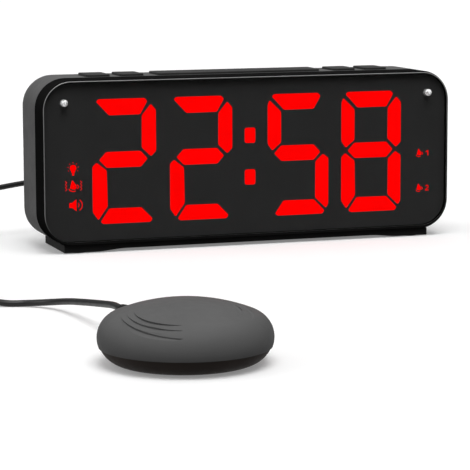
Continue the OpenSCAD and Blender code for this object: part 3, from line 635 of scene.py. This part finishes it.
class Icon(Enum):
    """Icons of the panel, each a list of outlines in millimetres about its own middle."""

    LAMP = "lamp"
    SHAKER = "shaker"
    SOUND = "sound"
    BELL = "bell"
    ONE = "one"
    TWO = "two"

    def outlines(self) -> list[list[Flat]]:
        """Gives the shapes of this icon.

        Returns:
            The outlines.
        """
        return {
            Icon.LAMP: self.lamp,
            Icon.SHAKER: self.shaker,
            Icon.SOUND: self.sound,
            Icon.BELL: self.bell,
            Icon.ONE: self.one,
            Icon.TWO: self.two,
        }[self]()

    @staticmethod
    def lamp() -> list[list[Flat]]:
        """Bulb with rays round it.

        Returns:
            The outlines.
        """
        middle = (0, 0.9)
        bulb = circle_points(middle, 1.45, -48, 228, 22) + [(-0.55, -1.5), (0.55, -1.5)]
        foot = [(-0.4, -2.35), (0.4, -2.35), (0.5, -1.7), (-0.5, -1.7)]
        rays = []
        for angle in range(-30, 211, 40):
            start, end = (circle_points(middle, reach, angle, angle + 1, 1)[0] for reach in (2.15, 2.55))
            rays.append(bar(start, end, 0.3))
        return [bulb, foot, *rays]

    @staticmethod
    def bell(size: float = 1.0) -> list[list[Flat]]:
        """Bell that leans to the left, with its rim and clapper.

        Args:
            size: Scale of the bell.

        Returns:
            The outlines.
        """
        corners = [(-0.5, 1.95), (0.75, 0.25), (1.05, -0.55), (0.35, -1.3), (-1.25, -0.85), (-0.95, 0.5)]
        body = eased(corners, 0.35)
        rim = stroke([(-1.6, -0.95), (-1.15, -1.55), (-0.3, -1.85), (0.6, -1.7)], 0.28)
        clapper = stroke([(1.05, 0.35), (1.7, -0.3), (1.2, -1.05)], 0.28)
        return [[(x * size, z * size) for x, z in outline] for outline in (body, rim, clapper)]

    @classmethod
    def shaker(cls) -> list[list[Flat]]:
        """Bell between two wavy lines.

        Returns:
            The outlines.
        """
        waves = []
        for out in (-3.4, 3.3):
            line = [(out + 0.34 * (1 if i % 2 else -1), 2.1 - 0.7 * i) for i in range(7)]
            waves.append(stroke(line, 0.28))
        return [*cls.bell(1.35), *waves]

    @staticmethod
    def sound() -> list[list[Flat]]:
        """Loudspeaker with two waves.

        Returns:
            The outlines.
        """
        body = [(-2.9, -1.1), (-1.6, -1.1), (0.3, -2.6), (0.3, 2.6), (-1.6, 1.1), (-2.9, 1.1)]
        waves = [
            stroke(circle_points((0.2, 0), 1.25, -48, 48, 12), 0.3),
            stroke(circle_points((0.2, 0), 2.7, -56, 56, 20), 0.34),
        ]
        return [body, *waves]

    @staticmethod
    def one() -> list[list[Flat]]:
        """The number 1.

        Returns:
            The outlines.
        """
        return [[(0.1, -1.2), (0.5, -1.2), (0.5, 1.2), (0.2, 1.2), (-0.85, 0.6), (-0.7, 0.25), (0.1, 0.7)]]

    @staticmethod
    def two() -> list[list[Flat]]:
        """The number 2.

        Returns:
            The outlines.
        """
        hook = circle_points((0, 0.5), 0.6, 165, -35, 12)
        return [stroke([*hook, (-0.7, -0.95)], 0.36), bar((-0.9, -1.1), (0.9, -1.1), 0.36)]


def rounded_outline(width: float, height: float, radius: float, middle: float) -> list[Flat]:
    """Rectangle with round corners, standing in the plane of x and z.

    Args:
        width: Size along x.
        height: Size along z.
        radius: Radius of its corners.
        middle: Height of its middle.

    Returns:
        Its points.
    """
    points = []
    for k, (x, z) in enumerate(((1, 1), (-1, 1), (-1, -1), (1, -1))):
        centre = (x * (width / 2 - radius), middle + z * (height / 2 - radius))
        points += circle_points(centre, radius, 90 * k, 90 * k + 90, 14)
    return points


def cut_sheet(name: str, loops: list[list[Flat]], front: float, thick: float) -> bpy.types.Object:
    """Flat sheet that stands upright, its first loop the outline and the others windows in it.

    Args:
        name: Name of the piece.
        loops: The loops, of x and z in metres.
        front: Where its front face is along y.
        thick: Its thickness.

    Returns:
        The new object.
    """
    curve = bpy.data.curves.new(name, "CURVE")
    curve.dimensions = "2D"
    curve.fill_mode = "BOTH"
    curve.extrude = thick / 2
    for loop in loops:
        spline = curve.splines.new("POLY")
        spline.points.add(len(loop) - 1)
        for point, (x, z) in zip(spline.points, loop):
            point.co = (x, z, 0, 1)
        spline.use_cyclic_u = True
    flat = bpy.data.objects.new(name, curve)
    mesh = bpy.data.meshes.new_from_object(flat)
    mesh.transform(Matrix.Translation((0, front + thick / 2, 0)) @ Matrix.Rotation(math.pi / 2, 4, "X"))
    bpy.data.objects.remove(flat)
    return new_object(name, mesh)


@dataclass
class Digit:
    """Light guides of one seven-segment digit, drawn as the printed panel shows them.

    Their corners are drawn sharp, then drawn in by the inset and rounded by the radius.
    """

    number: int
    shown: str
    radius: float = 0.6
    inset: float = 0.13
    to_middle: float = 26.65
    half_bar: float = 3.6
    front: float = -17.2 * MM
    depth: float = 7.5 * MM

    def __post_init__(self) -> None:
        """Measures the place of the digit."""
        low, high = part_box(f"digit_{self.number}")
        self.left, self.right, self.bottom, self.top = (v / MM for v in (low.x, high.x, low.z, high.z))

    def segments(self) -> dict[str, list[Flat]]:
        """Outline of each segment, named a to g from the top, clockwise, with g in the middle.

        Returns:
            The outlines in millimetres.
        """
        left, right, bottom, top = self.left, self.right, self.bottom, self.top
        mid = top - self.to_middle
        half = self.half_bar
        corners = {
            "a": [(left + 3.1, top), (right - 5.2, top), (right - 3.8, top - 1.5),
                  (right - 7.2, top - 7.3), (left + 7.8, top - 7.4), (left + 1.9, top - 1.2)],
            "b": [(right - 2.45, top - 2.6), (right, top - 5.3), (right, top - 23.5),
                  (right - 2.5, top - 25.9), (right - 6.8, top - 21.8), (right - 6.7, top - 7.6)],
            "c": [(right - 2.8, bottom + 27.4), (right - 6.5, bottom + 24), (right - 6.6, bottom + 7.5),
                  (right - 1.3, bottom + 2.5), (right, bottom + 4.4), (right, bottom + 25.4)],
            "d": [(left + 4.7, bottom), (right - 2.9, bottom), (right - 1.8, bottom + 1.6),
                  (right - 7, bottom + 6.9), (left + 7.5, bottom + 7), (left + 3.45, bottom + 1.1)],
            "e": [(left + 2.05, bottom + 27.3), (left, bottom + 25.4), (left, bottom + 5.4),
                  (left + 2.6, bottom + 1.7), (left + 7, bottom + 7.75), (left + 6.7, bottom + 23.6)],
            "f": [(left + 1, top - 2.6), (left + 6.6, top - 8), (left + 6.6, top - 21.9),
                  (left + 2.3, top - 25.5), (left, top - 22.4), (left, top - 4.8)],
            "g": [(left + 3, mid), (left + 6.3, mid + half), (right - 7.15, mid + half),
                  (right - 3.85, mid), (right - 7.1, mid - half), (left + 6.5, mid - half)],
        }
        return {
            name: eased(drawn_in(outline, self.inset), self.radius) for name, outline in corners.items()
        }

    def loops(self, lit: bool) -> list[list[Flat]]:
        """Outlines of the lit or the dark segments, in metres."""
        chosen = [line for name, line in self.segments().items() if (name in self.shown) == lit]
        return [[(x * MM, z * MM) for x, z in line] for line in chosen]

    def guides(self, lit: bool) -> list[bpy.types.Object]:
        """Makes the lit or the dark light guides, each a piece."""
        return [cut_sheet("guide", [loop], self.front, self.depth) for loop in self.loops(lit)]

    def build(self) -> None:
        """Makes the lit light guides, in place of the digit's own node."""
        made = merged(f"digit_guides_{self.number}", self.guides(True))
        Look.LIT.dress(made)
        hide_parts(f"digit_{self.number}")


def merged(name: str, pieces: list[bpy.types.Object]) -> bpy.types.Object:
    """Puts several pieces together as one.

    Args:
        name: Name of the result.
        pieces: The pieces, which go away.

    Returns:
        The object with all their shells.
    """
    shape = bmesh.new()
    for piece in pieces:
        shape.from_mesh(piece.data)
        bpy.data.objects.remove(piece)
    mesh = bpy.data.meshes.new(name)
    shape.to_mesh(mesh)
    shape.free()
    return new_object(name, mesh)


@dataclass
class Panel:
    """Smoked panel: its sheet, the print behind it with windows, the light behind those, and the frame.

    The painted highlight's bevel points are a distance outwards and a depth. The painted highlight fades in
    over fade_up above bright_top and bright_foot, and over fade_across left of bright_left, where light falls
    on the edge; elsewhere the least share of it is left.
    The frame's points before lip and within lip_slack of the opening are those that widen with the panel.
    """

    widened: float = 1.008
    play: float = 0.14 * MM
    corner: float = 12.0 * MM
    lip: float = -17.1 * MM
    lip_slack: float = 0.15 * MM
    sheet: float = 1.88 * MM
    print_gap: float = 0.02 * MM
    print_thick: float = 0.04 * MM
    print_inset: float = 0.1 * MM
    ease: float = 0.15 * MM
    lamp_hole: float = 1.55 * MM
    mark_lift: float = 0.015 * MM
    mark_thick: float = 0.01 * MM
    bevel: tuple[Flat, ...] = (
        (0.34, -0.1), (0.14, -0.27), (0.02, -0.27), (0.02, 0.3), (0.1, 0.3), (0.1, -0.1),
    )
    bright_top: float = 58.0
    bright_left: float = 86.0
    bright_foot: float = 8.0
    fade_up: float = 9.0
    fade_across: float = 5.0
    least: float = 0.12
    colon: tuple[float, float, float] = (5 * MM, 6.8 * MM, 1 * MM)
    shown: tuple[str, ...] = ("abged", "abged", "afgcd", "abcdefg")
    marks: tuple[tuple[Icon, float, float], ...] = (
        (Icon.LAMP, -81.1, 36.5),
        (Icon.SHAKER, -80.9, 29.7),
        (Icon.SOUND, -80.1, 21.2),
        (Icon.BELL, 81.8, 38.2),
        (Icon.ONE, 85.7, 38.0),
        (Icon.BELL, 81.8, 22.2),
        (Icon.TWO, 85.7, 22.0),
    )

    def __post_init__(self) -> None:
        """Measures the places of the panel and of the frame's opening."""
        low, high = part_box("front_lens")
        self.front = low.y
        self.size = ((high.x - low.x) * self.widened, (high.z - low.z) * self.widened)
        self.middle = low.z + self.size[1] / 2
        self.print_front = self.front + self.sheet + self.print_gap
        self.digits = [Digit(number, shown) for number, shown in enumerate(self.shown, 1)]

    def outline(self, inset: float = 0.0) -> list[Flat]:
        """Outline of the panel, drawn in by a little."""
        width, height = (side - 2 * inset for side in self.size)
        return rounded_outline(width, height, self.corner - inset, self.middle)

    def lamp_windows(self) -> list[list[Flat]]:
        """Round windows for the two flash lamps.

        Returns:
            Their outlines in metres.
        """
        loops = []
        for node in ("flash_lamp_left", "flash_lamp_right"):
            low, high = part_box(node)
            middle = ((low.x + high.x) / 2, (low.z + high.z) / 2)
            loops.append(circle_points(middle, self.lamp_hole, count=32))
        return loops

    def frame(self) -> None:
        """Makes the frame, its opening a little wider than its node's so that the panel fills the face."""
        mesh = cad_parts["front_frame"].data.copy()
        low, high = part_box("front_lens")
        half = ((high.x - low.x) / 2 + self.play, (high.z - low.z) / 2 + self.play)
        middle, foot = (high.z + low.z) / 2, low.z - self.play
        for vertex in mesh.vertices:
            place = vertex.co
            reach = (abs(place.x) - half[0] + self.corner, abs(place.z - middle) - half[1] + self.corner)
            away = math.hypot(*(max(v, 0.0) for v in reach)) + min(max(reach), 0.0) - self.corner
            if place.y < self.lip and abs(away) < self.lip_slack:
                place.x *= self.widened
                place.z = foot + (place.z - foot) * self.widened
        made = new_object("front_bezel", mesh)
        Look.FRAME.dress(made)
        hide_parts("front_frame")

    def cover(self) -> None:
        """Makes the smoked sheet with its eased edge."""
        made = cut_sheet("panel_sheet", [self.outline(), *self.lamp_windows()], self.front, self.sheet)
        edge = made.modifiers.new("eased", "BEVEL")
        edge.width = self.ease
        edge.segments = 3
        edge.limit_method = "ANGLE"
        Look.PANEL.dress(made)
        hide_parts("front_lens")

    def backing(self) -> None:
        """Makes the print behind the sheet, open over the lit segments, the colon and the lamps."""
        low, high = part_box("colon")
        middle = (low.z + high.z) / 2
        width, height, radius = self.colon
        reach = high.z - middle - height / 2
        windows = [rounded_outline(width, height, radius, middle + side * reach) for side in (-1, 1)]
        for digit in self.digits:
            windows += digit.loops(True)
        loops = [self.outline(self.print_inset), *windows, *self.lamp_windows()]
        made = cut_sheet("panel_print", loops, self.print_front, self.print_thick)
        Look.PRINT.dress(made)

    def dark_guides(self) -> None:
        """Makes the light guides that stay dark."""
        made = merged("dark_guides", [guide for digit in self.digits for guide in digit.guides(False)])
        Look.DARK.dress(made)
        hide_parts("unlit_segments")

    def highlight_share(self, x: float, z: float) -> float:
        """How wide the painted highlight is at a place of the panel's edge: wide where light falls on the
        edge.

        Args:
            x: Place across the panel, in metres.
            z: Height, in metres.

        Returns:
            1 along the top and on the left, fading to the least share below and on the right.
        """
        top = (z / MM - self.bright_top) / self.fade_up
        left = (-x / MM - self.bright_left) / self.fade_across
        foot = (z / MM - self.bright_foot) / self.fade_up
        return min(1.0, max(self.least, top, min(left, foot)))

    def trim(self) -> None:
        """Makes the painted highlight where the panel meets the frame: a narrow light grey bevel that looks
        outwards, shrunk away below and on the right where the edge is in shade.
        """
        rows = []
        edge = self.outline()
        shape = bmesh.new()
        for out, depth in self.bevel:
            row = []
            for (x, z), (edge_x, edge_z) in zip(self.outline(-out * MM), edge):
                # Painted highlight: the strip narrows away below and on the right, where the edge would be in
                # shade.
                share = self.highlight_share(edge_x, edge_z)
                across = edge_x + (x - edge_x) * share
                height = edge_z + (z - edge_z) * share
                row.append(shape.verts.new((across, self.front + depth * share * MM, height)))
            rows.append(row)
        for i, row in enumerate(rows):
            below = rows[(i + 1) % len(rows)]
            for k in range(len(row)):
                after = (k + 1) % len(row)
                shape.faces.new((row[k], row[after], below[after], below[k]))
        bmesh.ops.recalc_face_normals(shape, faces=shape.faces)
        mesh = bpy.data.meshes.new("panel_painted_edge_highlight")
        shape.to_mesh(mesh)
        shape.free()
        made = new_object("panel_painted_edge_highlight", mesh)
        Look.TRIM.dress(made)

    def mark(self, number: int, icon: Icon, x: float, z: float) -> None:
        """Makes one icon, printed in light on the back of the sheet.

        Args:
            number: Number in the piece's name.
            icon: Which icon.
            x: Place of its middle across the panel, in millimetres.
            z: Height of its middle, in millimetres.
        """
        loops = [[((x + a) * MM, (z + b) * MM) for a, b in outline] for outline in icon.outlines()]
        front = self.print_front - self.mark_lift
        sheets = [cut_sheet("mark", [loop], front, self.mark_thick) for loop in loops]
        made = merged(f"panel_{icon.value}_{number}", sheets)
        Look.LIT.dress(made)

    def build(self) -> None:
        """Makes the whole front."""
        self.frame()
        self.cover()
        self.backing()
        self.dark_guides()
        self.trim()
        for digit in self.digits:
            digit.build()
        for number, (icon, x, z) in enumerate(self.marks, 1):
            self.mark(number, icon, x, z)


@dataclass
class Studio:
    """Pale floor, white surroundings and soft lamps.

    Each lamp has its name, the direction that it shines from, its softness and its strength.
    """

    reach: float = 12.0
    floor_seen: float = 0.92
    floor_bounce: float = 0.15
    floor_roughness: float = 0.6
    floor_specular: float = 0.2
    fill: float = 1.8
    fill_seen: float = 0.12
    fill_mirrored: float = 0.3
    horizon: float = 0.05
    zenith: float = 0.65
    lamps: tuple[tuple[str, Point, float, float], ...] = (
        ("side_lamp", (-1.2, 0.1, 0.6), 40.0, 0.58),
        ("top_lamp", (-0.05, -0.55, 1.2), 40.0, 2.1),
    )

    def floor(self) -> None:
        """Makes the floor: pale to the camera, darker to what it lights, and it keeps the object's shadow."""
        mesh = bpy.data.meshes.new("floor")
        signs = ((-1, -1), (1, -1), (1, 1), (-1, 1))
        mesh.from_pydata([(x * self.reach, y * self.reach, 0) for x, y in signs], [], [(0, 1, 2, 3)])
        made = bpy.data.objects.new("floor", mesh)
        bpy.context.scene.collection.objects.link(made)
        made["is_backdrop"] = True
        tree = Tree("floor")
        tree.surface.inputs["Roughness"].default_value = self.floor_roughness
        tree.surface.inputs["Specular IOR Level"].default_value = self.floor_specular
        path = tree.add("LightPath").outputs
        tone = tree.tint(path["Is Camera Ray"], (self.floor_bounce,) * 3, (self.floor_seen,) * 3)
        tree.join(tone, tree.surface.inputs["Base Color"])
        seen = tree.add("Math", {"operation": "MULTIPLY"})
        tree.join(path["Is Camera Ray"], seen.inputs[0])
        seen.inputs[1].default_value = self.fill_seen
        share = tree.add("Math", {"operation": "MULTIPLY_ADD"})
        tree.join(path["Is Glossy Ray"], share.inputs[0])
        share.inputs[1].default_value = self.fill_mirrored
        tree.join(seen.outputs[0], share.inputs[2])
        white = tree.add("Emission", Strength=self.fill)
        blend = tree.add("MixShader")
        tree.join(share.outputs[0], blend.inputs["Fac"])
        tree.join(tree.surface.outputs[0], blend.inputs[1])
        tree.join(white.outputs[0], blend.inputs[2])
        tree.join(blend.outputs[0], tree.output.inputs["Surface"])
        mesh.materials.append(tree.material)

    def world(self) -> None:
        """Makes the surroundings: white to the camera, and for the rest a sky that darkens to the horizon."""
        world = bpy.data.worlds.new("world")
        world.use_nodes = True
        bpy.context.scene.world = world
        nodes, links = world.node_tree.nodes, world.node_tree.links
        path = nodes.new("ShaderNodeLightPath").outputs
        place = nodes.new("ShaderNodeTexCoord")
        parts = nodes.new("ShaderNodeSeparateXYZ")
        sky = nodes.new("ShaderNodeMapRange")
        sky.inputs["To Min"].default_value = self.horizon
        sky.inputs["To Max"].default_value = self.zenith
        links.new(place.outputs["Generated"], parts.inputs["Vector"])
        links.new(parts.outputs["Z"], sky.inputs["Value"])
        strength = nodes.new("ShaderNodeMapRange")
        strength.inputs["To Max"].default_value = 1.0
        links.new(sky.outputs["Result"], strength.inputs["To Min"])
        either = nodes.new("ShaderNodeMath")
        either.operation = "MAXIMUM"
        links.new(path["Is Camera Ray"], either.inputs[0])
        links.new(path["Is Transmission Ray"], either.inputs[1])
        links.new(either.outputs[0], strength.inputs["Value"])
        nodes["Background"].inputs["Color"].default_value = (1, 1, 1, 1)
        links.new(strength.outputs["Result"], nodes["Background"].inputs["Strength"])

    def lamp(self, name: str, place: Point, softness: float, strength: float) -> None:
        """Adds a far soft lamp that shines on the object alike everywhere.

        Args:
            name: Name of the lamp.
            place: The direction that it shines from.
            softness: Its apparent size in degrees.
            strength: Its strength.
        """
        data = bpy.data.lights.new(name, "SUN")
        data.angle = math.radians(softness)
        data.energy = strength
        made = bpy.data.objects.new(name, data)
        made.location = place
        made.rotation_mode = "QUATERNION"
        made.rotation_quaternion = (-Vector(place)).to_track_quat("-Z", "Y")
        bpy.context.scene.collection.objects.link(made)

    def build(self) -> None:
        """Makes the floor, the world and the lamps."""
        self.floor()
        self.world()
        for lamp in self.lamps:
            self.lamp(*lamp)


def corners() -> list[list[float]]:
    """Lowest and highest corner of the shown object, as plain numbers."""
    return [list(corner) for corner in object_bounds()]


def main() -> None:
    """Builds the looks in order."""
    logging.basicConfig(level=logging.INFO, format="%(message)s")
    bpy.context.scene.view_settings.view_transform = "Standard"
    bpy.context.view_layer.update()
    for name, step in (
        ("camera", Camera().build),
        ("lead", Lead().build),
        ("frame", dress_frame),
        ("panel", Panel().build),
        ("studio", Studio().build),
    ):
        step()
        log.info("built %s", name)


if __name__ == "__main__":
    main()
